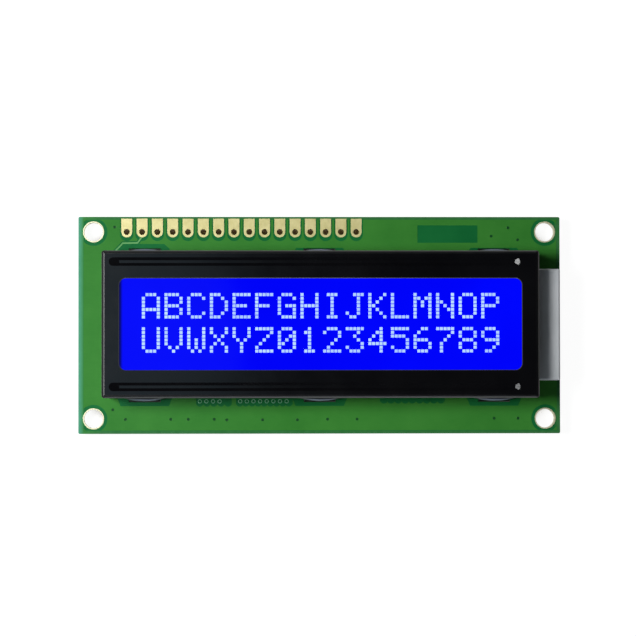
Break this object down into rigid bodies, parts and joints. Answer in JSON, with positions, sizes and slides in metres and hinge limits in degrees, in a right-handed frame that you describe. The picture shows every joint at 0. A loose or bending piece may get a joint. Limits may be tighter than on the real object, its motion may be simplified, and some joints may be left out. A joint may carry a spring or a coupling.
{
  "type": "character lcd module",
  "caption": "Character LCD module: blue lit dot-matrix display in a black pressed-metal bezel on a green circuit board with a header pad row, corner holes and an edge backlight.",
  "frame": {"origin": "centre of the circuit board's outline, at the lowest point behind the board", "axes": "+X along the lines of characters to the right, +Y towards the header row, +Z towards the viewer"},
  "size_m": [0.08, 0.036, 0.0103],
  "materials": {
    "solder_mask": "glossy green solder mask on glass-fibre board",
    "gold_plating": "gold-plated copper",
    "black_paint": "black painted sheet metal, satin",
    "lit_film": "polarising film, lit deep blue from behind",
    "clear_glass": "clear polished glass",
    "seal_resin": "grey epoxy seal",
    "port_resin": "cured clear resin",
    "rear_film": "polarising film",
    "elastomer": "silicone rubber with conductive layers",
    "white_plastic": "white moulded plastic, satin",
    "clear_acrylic": "clear acrylic",
    "diffuser": "milky film",
    "reflector": "white reflecting film",
    "white_board": "white circuit board",
    "light_source": "moulded light sources with a phosphor window",
    "tinned_metal": "tin-plated metal",
    "solder": "bright solder",
    "black_epoxy": "black epoxy, slightly glossy",
    "resistor_black": "black glazed ceramic",
    "capacitor_tan": "tan ceramic"
  },
  "bodies": {
    "root": {"pcb": "solder_mask", "interface_pads": "gold_plating", "mounting_hole_rings": "gold_plating", "zebra_contact_pads": "gold_plating", "bezel": "black_paint", "front_polariser": "lit_film", "front_glass": "clear_glass", "cell_seal": "seal_resin", "fill_port_plug": "port_resin", "rear_glass": "clear_glass", "rear_polariser": "rear_film", "zebra_strip_upper": "elastomer", "zebra_strip_lower": "elastomer", "backlight_frame": "white_plastic", "light_guide": "clear_acrylic", "diffuser_film": "diffuser", "reflector_film": "reflector", "led_board": "white_board", "backlight_leds": "light_source", "backlight_pins": "tinned_metal", "backlight_pads": "gold_plating", "solder_joints": "solder", "controller_cover": "black_epoxy", "driver_cover": "black_epoxy", "chip_pads": "gold_plating", "resistor_bodies": "resistor_black", "capacitor_bodies": "capacitor_tan", "chip_end_caps": "tinned_metal"}
  },
  "joints": []
}
